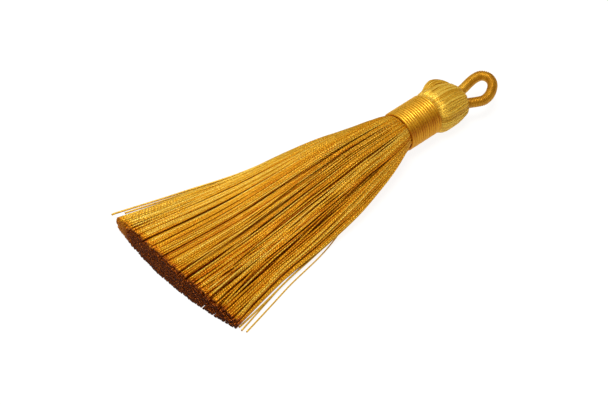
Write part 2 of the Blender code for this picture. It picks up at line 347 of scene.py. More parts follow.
# Studio. Places and sizes are in metres
FLOOR_HALF_SIZE = 3.0
FLOOR_COLOUR = (0.15, 0.15, 0.15)
FLOOR_ROUGHNESS = 0.85
FLOOR_GLOW = 0.9
SURROUNDINGS_COLOUR = (1.0, 0.76, 0.45)
SURROUNDINGS_STRENGTH = 0.2
Softbox = namedtuple("Softbox", "name place size watts colour")
SOFTBOXES = (
    Softbox("key_light", (-0.12, -0.07, 0.9), size=0.45, watts=5.9, colour=(1.0, 0.99, 0.96)),
    Softbox("fill_light", (-0.2, 0.25, 0.95), size=1.4, watts=5.8, colour=(1.0, 0.98, 0.95)),
)
CAMERA_PLACE = Vector((-0.21844, -0.24906, 0.30374))
CAMERA_AIM = Vector((-0.01044, -0.00242, 0.003))
CAMERA_ROLL = math.radians(-0.86)
CAMERA_LENS = 128.0
CAMERA_SENSOR = 36.0
CAMERA_NEAREST = 0.01
CAMERA_FARTHEST = 10.0


# Curves and noise

def smooth_values(at, places, values):
    """The values between the given ones, on a smooth curve that never overshoots them."""
    rises = np.diff(values) / np.diff(places)
    before, after = rises[:-1], rises[1:]
    both = before * after
    inner = np.where(both > 0, 2 * both / np.where(both > 0, before + after, 1.0), 0.0)
    slopes = np.concatenate((rises[:1], inner, rises[-1:]))
    at = np.clip(at, places[0], places[-1])
    i = np.clip(np.searchsorted(places, at, side="right") - 1, 0, len(places) - 2)
    span = places[i + 1] - places[i]
    t = (at - places[i]) / span
    start = values[i] * (1 + 2 * t) * (1 - t) ** 2 + slopes[i] * span * t * (1 - t) ** 2
    end = values[i + 1] * t * t * (3 - 2 * t) + slopes[i + 1] * span * t * t * (t - 1)
    return start + end


def bump(distance, half_width):
    """1 in the middle, and down to 0 in a smooth curve at half_width and beyond."""
    near = np.minimum(1.0, np.abs(distance) / half_width)
    return (1 - near * near) ** 2


def smooth_step(share):
    """0 up to 0 and 1 from 1 on, with a smooth curve between them."""
    share = np.clip(share, 0, 1)
    return share * share * (3 - 2 * share)


def above(value, start, width):
    """0 up to start, and 1 once value is more than start by width."""
    return smooth_step((value - start) / width)


def below(value, start, width):
    """0 from start on, and 1 once value is less than start by width."""
    return smooth_step((start - value) / width)


def turned(angle, other):
    """The angle from other to angle, between minus and plus half a turn."""
    return (angle - other + math.pi) % (2 * math.pi) - math.pi


def wander(rng, count, share, waves):
    """A slow random wave for each of count threads, from -1 to 1, at each share of their length."""
    total = np.zeros((count, share.shape[-1]))
    for cycles in waves:
        phase = rng.uniform(0, 2 * math.pi, (count, 1))
        strength = rng.uniform(*WAVE_STRENGTHS, (count, 1))
        total += np.sin(2 * math.pi * cycles * share + phase) * strength
    return total / len(waves)


def unit(vectors):
    """The same directions, each with the length 1."""
    return vectors / np.linalg.norm(vectors, axis=-1, keepdims=True)


def across_path(sideways, ahead):
    """The direction square to ahead that is nearest to sideways."""
    return unit(sideways - np.sum(sideways * ahead, axis=-1, keepdims=True) * ahead)


# Meshes of many threads

def tube_rings(paths, radii, sideways, sides, flatness):
    """Rings of points round each path. sideways is any direction that is never along the path."""
    ahead = unit(np.gradient(paths, axis=1))
    side = across_path(sideways, ahead)
    upwards = np.cross(ahead, side) * flatness
    angles = 2 * math.pi * np.arange(sides) / sides
    across = np.cos(angles)[:, None] * side[:, :, None] + np.sin(angles)[:, None] * upwards[:, :, None]
    return paths[:, :, None] + radii[:, :, None, None] * across


def tube_faces(threads, rings, sides):
    """Corner numbers of the quads along all threads, and of the two caps of each."""
    grid = np.arange(threads * rings * sides).reshape(threads, rings, sides)
    following = np.roll(grid, -1, axis=2)
    quads = np.stack((grid[:, :-1], following[:, :-1], following[:, 1:], grid[:, 1:]), axis=-1)
    caps = np.stack((grid[:, 0, ::-1], grid[:, -1]), axis=1)
    return quads.reshape(-1, 4), caps.reshape(-1, sides)


def corner_places(paths, sides, numbers):
    """For each face corner: millimetres along its thread, turns round it, and the thread's number."""
    threads, rings = paths.shape[:2]
    steps = np.linalg.norm(np.diff(paths, axis=1), axis=-1)
    along = np.concatenate((np.zeros((threads, 1)), np.cumsum(steps, axis=1)), axis=1)
    quads = np.empty((threads, rings - 1, sides, 4, 3))
    near, far = along[:, :-1, None], along[:, 1:, None]
    for corner, (length, turn) in enumerate(((near, 0), (near, 1), (far, 1), (far, 0))):
        quads[..., corner, 0] = length
        quads[..., corner, 1] = (np.arange(sides) + turn) / sides
    quads[..., 2] = numbers[:, None, None, None]
    caps = np.empty((threads, 2, sides, 3))
    caps[:, 0, :, 0] = along[:, :1]
    caps[:, 1, :, 0] = along[:, -1:]
    caps[..., 1] = np.arange(sides) / sides
    caps[..., 2] = numbers[:, None, None]
    return np.concatenate((quads.reshape(-1, 3), caps.reshape(-1, 3)))


def strip_map(threads, rings, sides):
    """A flat map with one strip for each thread, and its caps at the strip's two ends."""
    quads = np.empty((threads, rings - 1, sides, 4, 2))
    strip = np.arange(threads)[:, None, None]
    for corner, (ring, turn) in enumerate(((0, 0), (0, 1), (1, 1), (1, 0))):
        along = (np.arange(rings - 1) + ring) / (rings - 1)
        around = STRIP_MARGIN + STRIP_WIDTH * (np.arange(sides) + turn) / sides
        quads[..., corner, 0] = (2 * CAP_SIZE + (1 - 4 * CAP_SIZE) * along)[None, :, None]
        quads[..., corner, 1] = (strip + around) / threads
    angles = 2 * math.pi * np.arange(sides) / sides
    caps = np.empty((threads, 2, sides, 2))
    middles = np.array((CAP_SIZE, 1 - CAP_SIZE))[:, None]
    caps[..., 0] = middles + CAP_FILL * CAP_SIZE * np.cos(angles)
    caps[..., 1] = (strip + 0.5 + CAP_HALF_HEIGHT * np.sin(angles)) / threads
    return np.concatenate((quads.reshape(-1, 2), caps.reshape(-1, 2)))


def thread_mesh(name, paths, radii, sideways, sides, tones, materials, rng, flatness=1.0):
    """One mesh of all the threads whose middle lines are given, in millimetres."""
    points = tube_rings(paths, radii, sideways, sides, flatness)
    return mesh_of_rings(name, paths, points, tones, materials, rng)


def mesh_of_rings(name, paths, points, tones, materials, rng):
    """One mesh through the rings of points round each path, in millimetres.

    The first material is for the threads, and the last one for the cap at each thread's end.
    """
    threads, rings, sides = points.shape[:3]
    quads, caps = tube_faces(threads, rings, sides)
    mesh = bpy.data.meshes.new(name)
    corners = ((points + CENTRING) * MM).reshape(-1, 3)
    mesh.from_pydata(corners.tolist(), [], quads.tolist() + caps.tolist())
    place = mesh.attributes.new("thread_place", "FLOAT_VECTOR", "CORNER")
    place.data.foreach_set("vector", corner_places(paths, sides, rng.random(threads)).ravel())
    tone = mesh.attributes.new("tone", "FLOAT", "POINT")
    spread = np.broadcast_to(tones[:, :, None], (threads, rings, sides))
    tone.data.foreach_set("value", spread.ravel())
    flat = mesh.uv_layers.new(name="OFBake")
    flat.uv.foreach_set("vector", strip_map(threads, rings, sides).ravel())
    for material in materials:
        mesh.materials.append(material)
    slots = np.zeros(len(quads) + len(caps), dtype=np.int32)
    slots[len(quads) + 1 :: 2] = len(materials) - 1
    mesh.polygons.foreach_set("material_index", slots)
    smooth = np.arange(len(slots)) < len(quads)
    mesh.polygons.foreach_set("use_smooth", smooth)
    mesh.update()
    return mesh


def add_piece(name, mesh, node):
    """A piece of the visual model, in place of a solid and with its finish."""
    piece = bpy.data.objects.new(name, mesh)
    bpy.context.scene.collection.objects.link(piece)
    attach(piece, "root")
    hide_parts(node)


# Skirt

def end_thickness_share(across):
    """The cut end is thickest in its middle and thinnest on the near side. across runs from -1 to 1."""
    return 1 + END_FAR_SIDE_GAIN * across - END_THINNING * across * across


def skirt_points(share, across, height):
    """Points in the skirt. Its round section at the neck turns into the flat one at the cut end."""
    middle, half_width, flat, bottom, top = (
        smooth_values(share, SKIRT_SHARES, values)
        for values in (SKIRT_MIDDLE, SKIRT_HALF_WIDTH, SKIRT_FLATNESS, SKIRT_BOTTOM, SKIRT_TOP)
    )
    straight = STRAIGHTENING * (1 - across * across)
    neck, end = SKIRT_HALF_WIDTH[NECK_SECTION], SKIRT_HALF_WIDTH[-1]
    half_width = half_width + straight * (neck + (end - neck) * share - half_width)
    middle = middle + straight * (SKIRT_MIDDLE[-1] * share - middle)
    turn = across * math.pi / 2
    off_middle = 2 * height - 1
    neck_chord = np.sqrt(1 - NECK_EDGE_ROUNDING * off_middle * off_middle)
    end_chord = 1 - END_EDGE_ROUNDING * off_middle * off_middle
    chord = 1 + flat * (neck_chord + flat * (end_chord - neck_chord) - 1)
    side = middle + half_width * ((1 - flat) * np.sin(turn) + flat * across) * chord
    round_height = (bottom + top) / 2 + (height - 0.5) * (top - bottom) * np.cos(turn)
    flat_height = bottom + height * (top - bottom) * end_thickness_share(across)
    widening = SKIRT_HALF_WIDTH[-1] - SKIRT_HALF_WIDTH[0]
    fan_angle = np.arctan2(widening * across, SKIRT_LENGTH)
    distance = share * SKIRT_LENGTH * np.cos(fan_angle)
    level = (1 - flat) * round_height + flat * flat_height
    return np.stack(np.broadcast_arrays(NECK_X - distance, side, level), axis=-1)


def clumped_columns(rng, count):
    """Places from -1 to 1 for count threads in clumps, each one's clump, and its place in its clump."""
    places, clumps, inside = [], [], []
    reach, clump = 0.0, 0
    while len(places) < count:
        size = min(int(rng.choice(CLUMP_SIZES)), count - len(places))
        for i in range(size):
            places.append(reach)
            clumps.append(clump)
            inside.append(2 * (i + 0.5) / size - 1)
            reach += 1.0
        reach += rng.uniform(*CLUMP_GAPS)
        clump += 1
    places = np.array(places) / (places[-1] + 0.5) * 2 - 1
    return places * COLUMNS_REACH, np.array(clumps), np.array(inside)


def skirt_rows():
    """The threads of the skirt, as (column, row from the top, rows in the column) for each."""
    across = np.linspace(-1, 1, COLUMNS)
    thickness = (SKIRT_TOP[-1] - SKIRT_BOTTOM[-1]) * end_thickness_share(across)
    counts = np.maximum(LEAST_ROWS, np.round(thickness / ROW_PITCH)).astype(int)
    return [(column, row, rows) for column, rows in enumerate(counts) for row in range(rows)]


def thread_radii(rng, share, count):
    """Radii along the threads, which the binding squeezes together at the neck."""
    grown = smooth_step(share / FULL_RADIUS_SHARE)
    size = THREAD_RADIUS * (RADIUS_AT_NECK + (1 - RADIUS_AT_NECK) * grown)
    return size * rng.uniform(1 - RADIUS_SCATTER, 1 + RADIUS_SCATTER, (count, 1))


def ring_shares(rings):
    """Where the rings of a thread stand: close together at the neck, and again just before the cut."""
    spread = np.linspace(0, 1, rings - len(END_RINGS)) ** RING_CROWDING
    return np.append(HIDDEN_SHARE + (END_BAND_START - HIDDEN_SHARE) * spread, END_RINGS)


def drifts(rng, across, clumps, loose):
    """How far each thread has drifted sideways at the cut end, and whether it crosses others.

    Single threads and whole clumps cross, and only in a loose layer.
    """
    count, clump_count = len(across), clumps.max() + 1
    clump_share, thread_share = (1.0, 1.0) if loose else (PACKED_CLUMP_DRIFT, PACKED_THREAD_DRIFT)
    drift = rng.normal(0, CLUMP_DRIFT, clump_count)[clumps] * clump_share
    drift += rng.normal(0, THREAD_DRIFT, count) * thread_share
    clump_chance = CROSSING_CLUMPS * (CROSSING_CLUMPS_FROM - across)
    clump_crosses = rng.random(clump_count)[clumps] < clump_chance
    thread_crosses = rng.random(count) < CROSSING_THREADS * (CROSSING_THREADS_FROM - across)
    clump_push = rng.normal(0, CROSSING_CLUMP_SPREAD, clump_count)[clumps]
    thread_push = rng.normal(0, 1, count)
    push = np.where(clump_crosses, clump_push, thread_push) - CROSSING_NEAR_SIDE_PUSH
    crossing = (clump_crosses | thread_crosses) & loose
    reach = CROSSING_DRIFT * (1.0 - CROSSING_FAR_SIDE_LOSS * across)
    return drift + crossing * reach * push, crossing


def cut_lengths(rng, across, height, clumps, loose):
    """How much longer than the skirt each thread is cut."""
    ragged = 1.0 if loose else PACKED_RAGGEDNESS
    cut = THREAD_CUT_SCATTER * rng.normal(0, ragged, len(across))
    cut += CLUMP_CUT_SCATTER * ragged * rng.uniform(-1, 1, clumps.max() + 1)[clumps]
    return cut - END_SLOPE * height * (1 - above(across, *UNSLOPED_END_FADE))


def skirt_lift(rng, share, crossing, clumps, loose):
    """How far the threads stand out of their rows: in waves, where they cross, and by chance."""
    count = len(crossing)
    lift = THREAD_WAVE * wander(rng, count, share, LIFT_WAVES)
    lift += CROSSING_LIFT * crossing[:, None] * above(share, *CROSSING_LIFT_FADE)
    lift += rng.normal(0, THREAD_LIFT, (count, 1))
    return lift + rng.normal(0, CLUMP_LIFT, clumps.max() + 1)[clumps][:, None] * loose


def make_skirt_layer(layer, rng, threads, materials):
    """One piece with all the threads of a layer, each given as a SkirtThread."""
    across, height, drop, clumps, tones, end_tones = np.array(threads).T
    clumps, count = clumps.astype(int), len(across)
    share = ring_shares(layer.rings)
    along = np.clip(share, 0, 1)
    drift, crossing = drifts(rng, across, clumps, layer.loose)
    cut = cut_lengths(rng, across, height, clumps, layer.loose)
    drifted = np.clip(across + drift, -1, 1)
    places = across[:, None] + (drifted - across)[:, None] * along
    paths = skirt_points(share * (1 + cut[:, None] / SKIRT_LENGTH * along), places, height[:, None])
    sway = THREAD_SWAY * wander(rng, count, share, SWAY_WAVES)
    lift = skirt_lift(rng, share, crossing, clumps, layer.loose)
    paths[..., 1] += sway * along
    paths[..., 2] += (lift - drop[:, None]) * (LIFT_LEFT_AT_NECK + (1 - LIFT_LEFT_AT_NECK) * along)
    radii = thread_radii(rng, share, count) * layer.thickening
    paths[..., 2] = np.maximum(paths[..., 2], radii)
    tones = tones[:, None] + TONE_WAVE * wander(rng, count, share, TONE_WAVES)
    # Painted light on the far side, growing towards the cut end
    tones += FAR_END_PAINTED_LIGHT * above(across, *FAR_END_LIGHT_FADE)[:, None] * along
    # Over the last stretch of each thread, the cut end's painted shade, and its painted light in the
    # top row and on the far side
    tones += (end_tones[:, None] - tones) * np.clip((share - END_BAND_START) / END_BAND_LENGTH, 0, 1)
    name = f"skirt_threads_{layer.name}"
    mesh = thread_mesh(name, paths, radii, ALONG_Y, layer.sides, tones, materials, rng)
    add_piece(name, mesh, "silk_yarn")


def skirt_tones(rng, place, row):
    """The tone of a thread along its length, with painted shade under the top row, and its cut end's
    painted shade and light.
    """
    buried = 1 - above(abs(place), *EDGES_FADE)
    tone = TOP_TONE - buried * ROW_PAINTED_SHADE * min(row, DARKEST_ROW)
    tone = tone + rng.uniform(-TONE_SCATTER, TONE_SCATTER)
    lit = above(place, *LIT_END_FADE) if row else 1.0
    end_tone = SHADED_TONE + SECOND_ROW_PAINTED_LIGHT * (row == 1) + (LIT_TONE - SHADED_TONE) * lit
    return tone, end_tone


def make_skirt(materials):
    """The top and bottom rows lie in clumps, and the threads between them lie anyhow."""
    rng = np.random.default_rng(SKIRT_SEED)
    top = [clumped_columns(rng, COLUMNS) for _ in range(TOP_ROWS)]
    low = clumped_columns(rng, COLUMNS)
    layers = {TOP_LAYER: [], INNER_LAYER: [], BOTTOM_LAYER: []}
    for column, row, rows in skirt_rows():
        step = (row % 2 + rng.uniform(-PLACE_SCATTER, PLACE_SCATTER)) / COLUMNS
        if row < TOP_ROWS:
            layer = TOP_LAYER
            place, clump, inside = (values[column] for values in top[row])
            clump = clump + CLUMP_NUMBERS_IN_ROW * row
        elif row >= rows - BOTTOM_ROWS:
            layer = BOTTOM_LAYER
            place, clump, inside = (values[column] for values in low)
        else:
            layer = INNER_LAYER
            place = (column + 0.5) / COLUMNS * 2 - 1 + step
            clump, inside = column // INNER_CLUMP_SIZE, 0.0
        height = 1 - (row + 0.5) / rows
        drop = layer.sinking * (CLUMP_EDGE_DROP * inside**2 + CLUMP_DROP)
        across = np.clip(place + step, -1, 1)
        tones = skirt_tones(rng, place, row)
        layers[layer].append(SkirtThread(across, height, drop, clump, *tones))
    for layer, threads in layers.items():
        make_skirt_layer(layer, rng, threads, materials)


def stray_path(stray, share, along):
    """The middle line of a thread that leaves the skirt's side and lies apart on the surface."""
    shortened = share * (1 - stray.shorter / SKIRT_LENGTH * along)
    path = skirt_points(shortened, stray.side * STRAY_PLACE, stray.height)
    strayed = np.clip((along - stray.leaves) / (1 - stray.leaves), 0, 1)
    path[:, 1] += stray.side * (stray.reach * strayed + stray.bow * np.sin(math.pi * strayed))
    path[:, 2] = np.maximum(path[:, 2], THREAD_RADIUS)
    return path


def make_strays(materials):
    """The few threads that leave the skirt's sides."""
    rng = np.random.default_rng(STRAYS_SEED)
    share = ring_shares(STRAY_RINGS)
    along = np.clip(share, 0, 1)
    paths = np.array([stray_path(stray, share, along) for stray in STRAYS])
    radii = thread_radii(rng, share, len(paths)) * STRAY_THINNING
    tones = np.full(radii.shape, STRAY_TONE)
    mesh = thread_mesh("stray_threads", paths, radii, ALONG_Y, STRAY_SIDES, tones, materials, rng)
    add_piece("stray_threads", mesh, "silk_yarn")


# Head

def axis_points(distance, sideways, height):
    """Points in the head's own frame, whose X runs along its axis from the neck's edge."""
    x = distance * math.cos(AXIS_YAW) - sideways * math.sin(AXIS_YAW)
    y = distance * math.sin(AXIS_YAW) + sideways * math.cos(AXIS_YAW)
    return np.stack(np.broadcast_arrays(x + NECK_X, y, height + AXIS_HEIGHT), axis=-1)


def head_points(share, angle, inset):
    """Points on the head. The angle is from the far side, upwards, and the underside sags."""
    radius, lean, ridges = (
        smooth_values(share, HEAD_SHARES, values) for values in (HEAD_RADIUS, HEAD_LEAN, HEAD_RIDGES)
    )
    folds = [fold.size * bump(share - fold.middle, fold.half_length) for fold in LOOSE_LOCK_FOLDS]
    lock = LOOSE_LOCK_RISE * bump(turned(angle, LOOSE_LOCK_ANGLE), LOOSE_LOCK_HALF_WIDTH)
    crease = CREASE_DEPTH * bump(turned(angle, CREASE_ANGLE), CREASE_HALF_WIDTH)
    radius = radius + LOCK_RIDGE_DEPTH * ridges * np.cos(LOCK_RIDGES * angle)
    radius = radius + np.maximum(*folds) * (lock - crease) - inset
    height = radius * np.sin(angle)
    sagged = np.maximum(height * HEAD_SAG, HEAD_CLEARANCE - AXIS_HEIGHT)
    height = np.where(height < 0, sagged, height)
    distance = BINDING_LENGTH + share * HEAD_LENGTH
    return axis_points(distance, radius * np.cos(angle) - lean, height)


def head_tones(rng, share, angle, layer):
    """The tones of the head's threads, with painted shade in the lower layer, on the underside and
    where the cord goes in.
    """
    tones = HEAD_TONE + rng.uniform(-HEAD_TONE_SCATTER, HEAD_TONE_SCATTER, len(angle))
    tones = (tones - HEAD_LAYER_SHADE * layer)[:, None]
    tones = tones - HEAD_UNDERSIDE_SHADE * below(np.sin(angle[:, None]), *HEAD_UNDERSIDE_SHADE_FADE)
    return tones - HEAD_TIP_SHADE * above(share, *HEAD_TIP_SHADE_FADE)


def make_head(material):
    """The layers of threads that run from the binding over the head to the loop."""
    rng = np.random.default_rng(HEAD_SEED)
    count = HEAD_LAYERS * HEAD_THREADS
    share = np.linspace(HEAD_SHARES[0], HEAD_SHARES[-1], HEAD_RINGS)[None, :]
    places, clumps, inside = clumped_columns(rng, HEAD_THREADS)
    layer = np.arange(count) // HEAD_THREADS
    clumps, inside = np.tile(clumps, HEAD_LAYERS), np.tile(inside, HEAD_LAYERS)[:, None]
    angle = math.pi * (np.tile(places, HEAD_LAYERS) + layer / HEAD_THREADS)
    sway = HEAD_SWAY * wander(rng, count, share, HEAD_SWAY_WAVES)
    sway += HEAD_CLUMP_SWAY * wander(rng, clumps.max() + 1, share, HEAD_CLUMP_WAVES)[clumps]
    lift = THREAD_WAVE * wander(rng, count, share, LIFT_WAVES)
    groove = HEAD_GROOVE_DEPTH * inside**2 * np.clip(share * HEAD_GROOVE_GROWTH, HEAD_GROOVE_LEAST, 1)
    inset = HEAD_THREAD_RADIUS + HEAD_LAYER_DEPTH * layer[:, None] + groove - lift
    paths = head_points(share, angle[:, None] + sway, inset)
    radii = HEAD_THREAD_RADIUS * rng.uniform(*HEAD_RADIUS_SCATTER, (count, 1))
    radii = radii * (1 - HEAD_TAPER * np.clip(share - HEAD_TAPER_START, 0, 1))
    turn = angle[:, None, None]
    sideways = np.concatenate((0 * turn, -np.sin(turn), np.cos(turn)), axis=-1)
    tones = head_tones(rng, share, angle, layer)
    mesh = thread_mesh("head_threads", paths, radii, sideways, HEAD_SIDES, tones, [material], rng)
    add_piece("head_threads", mesh, "silk_yarn")


def make_core(material):
    """A smooth body just under the threads of the head and the neck, so that no light comes through."""
    rng = np.random.default_rng(CORE_SEED)
    share = np.linspace(*CORE_SHARES, CORE_RINGS)
    angle = 2 * math.pi * np.arange(CORE_SIDES) / CORE_SIDES
    points = head_points(share[:, None], angle[None, :], CORE_INSET)[None]
    tones = np.full((1, CORE_RINGS), CORE_TONE)
    mesh = mesh_of_rings("yarn_core", points.mean(axis=2), points, tones, [material], rng)
    add_piece("yarn_core", mesh, "silk_yarn")


# Neck binding

def make_binding(material):
    """The thread wound round the neck, with painted shade on its underside and painted light from the
    floor below that.
    """
    rng = np.random.default_rng(BINDING_SEED)
    turns = np.linspace(0, BINDING_TURNS, BINDING_TURNS * BINDING_RINGS_IN_TURN)
    share = turns[None, :] / BINDING_TURNS
    uneven = BINDING_UNEVENNESS * wander(rng, 1, share, BINDING_UNEVEN_WAVES)[0]
    tucked = 1 - np.clip(np.minimum(turns, BINDING_TURNS - turns) / TUCKED_TURNS, 0, 1)
    radius = BINDING_RADIUS - BINDING_THREAD_RADIUS * BINDING_THREAD_FLATNESS
    radius = radius - TUCK_DEPTH * tucked**2 + uneven
    distance = BINDING_PITCH * (0.5 + (BINDING_TURNS - 1) * turns / BINDING_TURNS + uneven)
    angle = 2 * math.pi * turns
    level = np.sin(angle)
    paths = axis_points(distance, radius * np.cos(angle), radius * level)[None]
    along_axis = np.array((math.cos(AXIS_YAW), math.sin(AXIS_YAW), 0.0))
    radii = np.full(paths.shape[:2], BINDING_THREAD_RADIUS)
    floor_light = BINDING_FLOOR_LIGHT * below(level, *BINDING_FLOOR_LIGHT_FADE)
    shaded = below(level, *BINDING_SHADE_FADE) - floor_light
    tones = BINDING_TONE + BINDING_TONE_WAVE * wander(rng, 1, share, BINDING_TONE_WAVES)
    tones = tones - BINDING_SHADE_DROP * shaded
    name, flatness = "binding_thread", BINDING_THREAD_FLATNESS
    mesh = thread_mesh(name, paths, radii, along_axis, BINDING_SIDES, tones, [material], rng, flatness)
    add_piece(name, mesh, "neck_binding")


# Hanging loop

def smooth_route(points, steps):
    """Points on a smooth curve through the given ones, with steps between each two of them."""
    padded = np.concatenate((2 * points[:1] - points[1:2], points, 2 * points[-1:] - points[-2:-1]))
    before, start, end, after = padded[:-3], padded[1:-2], padded[2:-1], padded[3:]
    t = (np.arange(steps) / steps)[None, :, None]
    before, start, end, after = (p[:, None, :] for p in (before, start, end, after))
    line = 0.5 * (
        2 * start
        + (end - before) * t
        + (2 * before - 5 * start + 4 * end - after) * t**2
        + (3 * start - before - 3 * end + after) * t**3
    )
    return np.concatenate((line.reshape(-1, 3), points[-1:]))


def distances(line):
    """How far along the line each of its points is."""
    steps = np.linalg.norm(np.diff(line, axis=0), axis=-1)
    return np.concatenate(((0.0,), np.cumsum(steps)))


def evenly_spaced(line, count):
    """The same line with count points that are all equally far apart."""
    along = distances(line)
    at = np.linspace(0, along[-1], count)
    return np.stack([np.interp(at, along, line[:, i]) for i in range(3)], axis=-1)


def wound_round(middle, sideways, offset, pitch):
    """The middle line of a thread that is wound round the given line."""
    ahead = unit(np.gradient(middle, axis=0))
    side = across_path(sideways, ahead)
    upwards = np.cross(ahead, side)
    turn = 2 * math.pi * (distances(middle) / pitch)
    return middle + offset * (np.cos(turn)[:, None] * side + np.sin(turn)[:, None] * upwards)


def make_loop(material):
    """The loop's cord, and the thread that covers it. The leg on the far side has a painted light."""
    rng = np.random.default_rng(LOOP_SEED)
    line = smooth_route(LOOP_ROUTE, ROUTE_STEPS)
    rings = int(distances(line)[-1] / WRAP_PITCH * WRAP_RINGS_IN_TURN)
    middle = evenly_spaced(line, rings)
    wrap = wound_round(middle, ALONG_Z, CORD_RADIUS - WRAP_RADIUS, WRAP_PITCH)[None]
    radii = np.full((1, rings), WRAP_RADIUS)
    ahead = unit(np.gradient(middle, axis=0))
    share = np.linspace(0, 1, rings)[None, :]
    tones = WRAP_TONE + WRAP_FAR_LEG_LIGHT * (1 - above(share, *WRAP_FAR_LEG_LIGHT_FADE))
    tones = tones + WRAP_TONE_WAVE * wander(rng, 1, share, WRAP_TONE_WAVES)
    mesh = thread_mesh("loop_wrapping", wrap, radii, ahead, WRAP_SIDES, tones, [material], rng)
    add_piece("loop_wrapping", mesh, "hanging_loop")
    core = evenly_spaced(line, LOOP_CORE_RINGS)[None]
    radii = np.full((1, LOOP_CORE_RINGS), CORD_RADIUS - WRAP_DEPTH)
    tones = np.full((1, LOOP_CORE_RINGS), LOOP_CORE_TONE)
    mesh = thread_mesh("loop_core", core, radii, ALONG_Z, LOOP_CORE_SIDES, tones, [material], rng)
    add_piece("loop_core", mesh, "hanging_loop")


# Materials

def new_material(name, colour, roughness):
    """A material with its shader's plain values, and its node tree and shader."""
    material = bpy.data.materials.new(name)
    material.use_nodes = True
    shader = material.node_tree.nodes["Principled BSDF"]
    shader.inputs["Base Color"].default_value = (*colour, 1.0)
    shader.inputs["Roughness"].default_value = roughness
    material.diffuse_color = (*colour, 1.0)
    return material, material.node_tree, shader


def add_node(tree, kind, inputs=(), **settings):
    """A new node. inputs are (socket, value) pairs, and a value may be another node's output."""
    node = tree.nodes.new(kind)
    for name, value in settings.items():
        setattr(node, name, value)
    for socket, value in inputs:
        if isinstance(value, bpy.types.NodeSocket):
            tree.links.new(value, node.inputs[socket])
        else:
            node.inputs[socket].default_value = value
    return node


def maths(tree, operation, first, second=0.0, third=0.0):
    """The output of a new maths node."""
    node = add_node(tree, "ShaderNodeMath", ((0, first), (1, second), (2, third)), operation=operation)
    return node.outputs[0]


def attribute(tree, name, output):
    """An output of a new node that reads one of the mesh's own attributes."""
    return add_node(tree, "ShaderNodeAttribute", attribute_name=name).outputs[output]


def colour_ramp(tree, factor, stops):
    """A ramp through (place, colour) stops."""
    node = add_node(tree, "ShaderNodeValToRGB", (("Fac", factor),))
    elements = node.color_ramp.elements
    while len(elements) < len(stops):
        elements.new(1.0)
    for element, (place, colour) in zip(elements, stops):
        element.position = place
        element.color = (*colour, 1.0)
    return node.outputs["Color"]


def silk_patches(tree, along, around, number):
    """A noise in patches along a thread, which differs from one thread to the next."""
    place = add_node(
        tree,
        "ShaderNodeCombineXYZ",
        (
            ("X", maths(tree, "MULTIPLY", along, PATCHES_IN_MM)),
            ("Y", maths(tree, "MULTIPLY", around, PATCHES_AROUND)),
            ("Z", maths(tree, "MULTIPLY", number, PATCHES_APART)),
        ),
    ).outputs["Vector"]
    return add_node(
        tree,
        "ShaderNodeTexNoise",
        (("Vector", place), ("Scale", 1.0), ("Detail", PATCH_DETAIL), ("Roughness", PATCH_ROUGHNESS)),
    ).outputs["Fac"]


def silk_material(name, stops, roughness, metallic, bead_mm, plies, relief_mm, mottle, groove):
    """Silk thread: twisted plies in relief and in painted shade, painted shade on its flanks, and a
    tone of its own for each thread.
    """
    material, tree, shader = new_material(name, stops[len(stops) // 2][1], roughness)
    place, tone = attribute(tree, "thread_place", "Vector"), attribute(tree, "tone", "Fac")
    parts = add_node(tree, "ShaderNodeSeparateXYZ", (("Vector", place),)).outputs
    along, around, number = parts["X"], parts["Y"], parts["Z"]
    twists = maths(tree, "MULTIPLY_ADD", number, TWIST_SPREAD / bead_mm, TWIST_LEAST / bead_mm)
    turn = maths(tree, "MULTIPLY_ADD", around, float(plies), maths(tree, "MULTIPLY", along, twists))
    ply = maths(tree, "SINE", maths(tree, "MULTIPLY", turn, 2 * math.pi))
    patches = silk_patches(tree, along, around, number)
    # Painted shade and light along the twist of the plies
    shade = maths(tree, "MULTIPLY_ADD", ply, PLY_SHADE * mottle, tone)
    patch_shade = maths(tree, "SUBTRACT", patches, 0.5)
    shade = maths(tree, "MULTIPLY_ADD", patch_shade, PATCH_SHADE * mottle, shade)
    # Painted shade on the thread's two flanks, where it touches its neighbours
    sideways = maths(tree, "COSINE", maths(tree, "MULTIPLY", around, 2 * math.pi))
    flank_shade = maths(tree, "POWER", maths(tree, "ABSOLUTE", sideways), FLANK_SHADE_SHARPNESS)
    shade = maths(tree, "MULTIPLY_ADD", flank_shade, -groove, shade)
    tree.links.new(colour_ramp(tree, shade, stops), shader.inputs["Base Color"])
    height = maths(tree, "ADD", patches, maths(tree, "MULTIPLY", ply, PLY_RELIEF))
    relief = add_node(
        tree, "ShaderNodeBump", (("Strength", 1.0), ("Distance", relief_mm * MM), ("Height", height))
    )
    tree.links.new(relief.outputs["Normal"], shader.inputs["Normal"])
    least = roughness - ROUGHNESS_SPREAD / 2
    rough = maths(tree, "MULTIPLY_ADD", patches, ROUGHNESS_SPREAD, least)
    tree.links.new(rough, shader.inputs["Roughness"])
    shader.inputs["Metallic"].default_value = metallic
    shader.inputs["Specular IOR Level"].default_value = SILK_SPECULAR
    shader.inputs["Specular Tint"].default_value = (*SILK_TINT, 1.0)
    return material


def skirt_material():
    """The skirt's twisted threads."""
    stops = (
        (0.0, (0.26, 0.05, 0.0005)),
        (0.12, (0.5, 0.125, 0.001)),
        (0.3, (0.6, 0.2, 0.002)),
        (0.6, (0.71, 0.36, 0.012)),
        (1.0, (0.86, 0.62, 0.11)),
    )
    return silk_material(
        "golden_silk_yarn", stops,
        roughness=0.37, metallic=0.5, bead_mm=0.62, plies=2, relief_mm=0.1, mottle=0.16, groove=0.2,
    )


